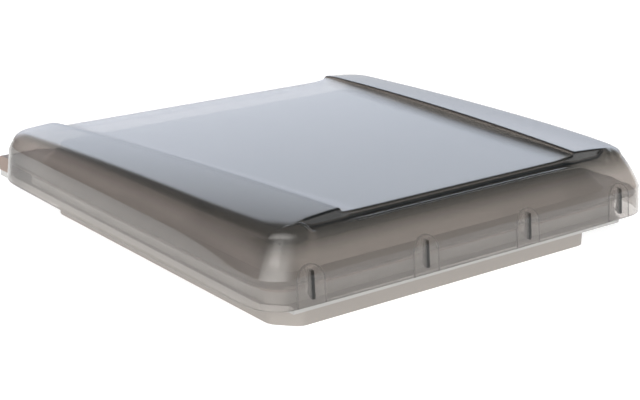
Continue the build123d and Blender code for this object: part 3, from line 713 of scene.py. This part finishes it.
# Painted shade: grey arched rims and dark fins on the clear clips.
tint(clip_plastic.node_tree, clip_shade["Rim"], (0.28, 0.28, 0.28))
tint(clip_plastic.node_tree, clip_shade["Fin"], (0.001, 0.001, 0.001))
paint(clip_plastic, "skirt_clips")

# %% [markdown]
# Painted shade makes the frame's collar, below the roof's face, a little warmer and darker than
# its flange. The screws that come through to the collar's face are lacquered in its colour.

# %% Plastics and rubber
collar_shade_edge = (-0.5 * mm, -2.5 * mm)

frame_plastic = finish("frame_plastic", (0.33, 0.33, 0.325), roughness=0.42, change=0.03,
                       cloud=12.0, grain=2200.0, depth=0.03)
tree = frame_plastic.node_tree
# Painted shade: the collar below the roof's face is darker and warmer.
tint(tree, edge_mask(tree, object_place(tree)["Z"], *collar_shade_edge), (0.245, 0.228, 0.212))
paint(frame_plastic, "base_frame", "catch_screws", "bracket_screws")
# The rear rail's dark pinkish brown is partly its own colour, partly painted shade.
rail_plastic = finish("rail_plastic", (0.175, 0.132, 0.11), roughness=0.45, change=0.03,
                      cloud=12.0, grain=2200.0, depth=0.12)
paint(rail_plastic, "rear_rail", "rail_cap_left", "rail_cap_right")
seal_rubber = finish("seal_rubber", (0.30, 0.26, 0.235), roughness=0.6, change=0.1,
                     cloud=30.0, grain=2500.0, depth=0.2)
paint(seal_rubber, "dome_seal")
grey_plastic = finish("grey_plastic", (0.16, 0.16, 0.17), roughness=0.45, change=0.06,
                      cloud=25.0, grain=2500.0, depth=0.2)
paint(grey_plastic, "hinge_arms", "bow_grip", "catch_hook_left", "catch_hook_right")
white_plastic = finish("white_plastic", (0.75, 0.75, 0.73), roughness=0.4, change=0.04,
                       cloud=25.0, grain=1500.0, depth=0.08)
paint(white_plastic, "guide_shoe_left", "guide_shoe_right", "pivot_bushes")

# %% [markdown]
# Two metals finish the linkage: satin aluminium for its profiles and tubes, and plated steel
# for pins, screws and brackets.

# %% Metals
aluminium = finish("satin_aluminium", (0.72, 0.73, 0.75), roughness=0.32, change=0.05,
                   cloud=40.0, grain=3000.0, depth=0.08, metallic=1)
paint(aluminium, "guide_rail_left", "guide_rail_right", "bow_bar", "bow_arm_left",
      "bow_arm_right")
steel = finish("plated_steel", (0.60, 0.60, 0.62), roughness=0.28, change=0.08,
               cloud=60.0, grain=3000.0, depth=0.08, metallic=1)
paint(steel, "hinge_pins", "rail_screws", "hinge_arm_screws", "shoe_pins", "pivot_pins",
      "catch_pins", "pivot_bracket_left", "pivot_bracket_right",
      "catch_bracket_left", "catch_bracket_right", "guide_stops")

# %% [markdown]
# ## Studio
# The vent stands on a plain pale floor, which glows a little so that it stays as pale as the
# back wall.

# %% Floor
floor_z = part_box("base_frame")[0].z
floor_half = 8
floor_shape = bmesh.new()
bmesh.ops.create_grid(floor_shape, x_segments=1, y_segments=1, size=floor_half)
bmesh.ops.translate(floor_shape, verts=floor_shape.verts[:], vec=(0, 0, floor_z))
floor_mesh = bpy.data.meshes.new("floor")
floor_shape.to_mesh(floor_mesh)
floor_shape.free()
floor = bpy.data.objects.new("floor", floor_mesh)
scene.collection.objects.link(floor)
floor_finish = bpy.data.materials.new("pale_floor")
floor_finish.use_nodes = True
floor_inputs = floor_finish.node_tree.nodes["Principled BSDF"].inputs
floor_inputs["Base Color"].default_value = (0.55, 0.55, 0.55, 1)
floor_inputs["Emission Color"].default_value = (1, 1, 1, 1)
floor_inputs["Emission Strength"].default_value = 0.72
floor_inputs["Roughness"].default_value = 0.9
floor_inputs["Specular IOR Level"].default_value = 0
floor_mesh.materials.append(floor_finish)
print("floor at", round(1000 * floor_z, 1), "mm")

# %% [markdown]
# A gloss surface shows what is around it, so the sky is a soft gradient by height: behind the
# vent a pale back wall under a dark ceiling, and on the camera's side a dim room.

# %% Sky: the back wall and the room


def ramp_node(tree, value, stops):
    """A ramp of colours over a value, eased from stop to stop."""
    ramp = add_node(tree, "ValToRGB", inputs={"Fac": value})
    ramp.color_ramp.interpolation = "B_SPLINE"
    elements = ramp.color_ramp.elements
    while len(elements) < len(stops):
        elements.new(1.0)
    for element, (position, color) in zip(elements, stops):
        element.position = position
        element.color = (*color, 1)
    return ramp.outputs["Color"]


world = bpy.data.worlds.new("studio")
scene.world = world
world.use_nodes = True
sky = world.node_tree
way = add_node(sky, "TexCoord").outputs["Generated"]
parts = add_node(sky, "SeparateXYZ", inputs={0: way}).outputs
back_wall = ramp_node(sky, parts["Z"], [
    (0.0, (0.44, 0.45, 0.47)), (0.12, (0.58, 0.62, 0.70)), (0.19, (0.80, 0.85, 0.95)),
    (0.26, (0.79, 0.85, 0.95)), (0.33, (0.80, 0.86, 0.96)), (0.42, (0.70, 0.75, 0.83)),
    (0.50, (0.24, 0.255, 0.28)), (0.58, (0.07, 0.08, 0.09)), (1.0, (0.04, 0.05, 0.06))])
room = ramp_node(sky, parts["Z"], [
    (0.0, (0.62, 0.55, 0.50)), (0.3, (0.46, 0.41, 0.38)), (0.50, (0.09, 0.115, 0.12)),
    (1.0, (0.05, 0.065, 0.07))])
print("sky of two ramps")

# %% [markdown]
# The back wall is warmer and dimmer towards one side, as it is beside a window. Ramps give no
# colour above 1, so the wall is brightened after them. On the camera's side a soft pale screen
# draws an upright streak on the near corner.

# %% Sky: the window and the screen
wall_gain = 1.36
wall_starts = (-0.1, 0.35)
screen_edges = (0.30, 0.97)
screen_color = (3.0, 2.95, 2.88, 1)
sky_strength = 1.6


def facing(x, y):
    """How much the view looks along a level direction, from -1 to 1."""
    return add_node(sky, "VectorMath", "DOT_PRODUCT", {
        0: way, 1: Vector((x, y, 0)).normalized()}).outputs["Value"]


gain = ramp_node(sky, facing(-1, 1), [
    (0.0, (0.86, 0.87, 0.88)), (0.3, (0.97, 0.98, 1.0)), (0.5, (0.98, 0.98, 0.98)),
    (0.8, (0.55, 0.44, 0.38)), (1.0, (0.48, 0.38, 0.32))])
lit_wall = add_node(sky, "VectorMath", "MULTIPLY", {0: back_wall, 1: gain}).outputs["Vector"]
lit_wall = add_node(sky, "VectorMath", "SCALE", {0: lit_wall, "Scale": wall_gain})
around = add_node(sky, "Mix", "RGBA", {
    "Factor": edge_mask(sky, parts["Y"], *wall_starts), "A": room,
    "B": lit_wall.outputs["Vector"]})
lit = add_node(sky, "Mix", "RGBA", {
    "Factor": edge_mask(sky, facing(-0.70, -0.71), *screen_edges),
    "A": around.outputs["Result"], "B": screen_color})
background = sky.nodes["Background"]
background.inputs["Strength"].default_value = sky_strength
sky.links.new(lit.outputs["Result"], background.inputs["Color"])
print("sky with", len(sky.nodes), "nodes")

# %% [markdown]
# One soft light from the camera's left shapes the sides. It's hidden from reflections, which
# show the sky alone.

# %% Soft light
key_place = Vector((-1.6, -1.2, 2.2))

key_data = bpy.data.lights.new("key", "AREA")
key_data.shape = "RECTANGLE"
key_data.size = 1.6
key_data.size_y = 1.12
key_data.energy = 30
key = bpy.data.objects.new("key", key_data)
key.location = key_place
key.rotation_euler = (-key_place).to_track_quat("-Z", "Y").to_euler()
key.visible_glossy = False
scene.collection.objects.link(key)
scene.view_settings.view_transform = "Standard"
scene.view_settings.look = "None"
print("key light", key_data.size, "x", round(key_data.size_y, 2), "m")
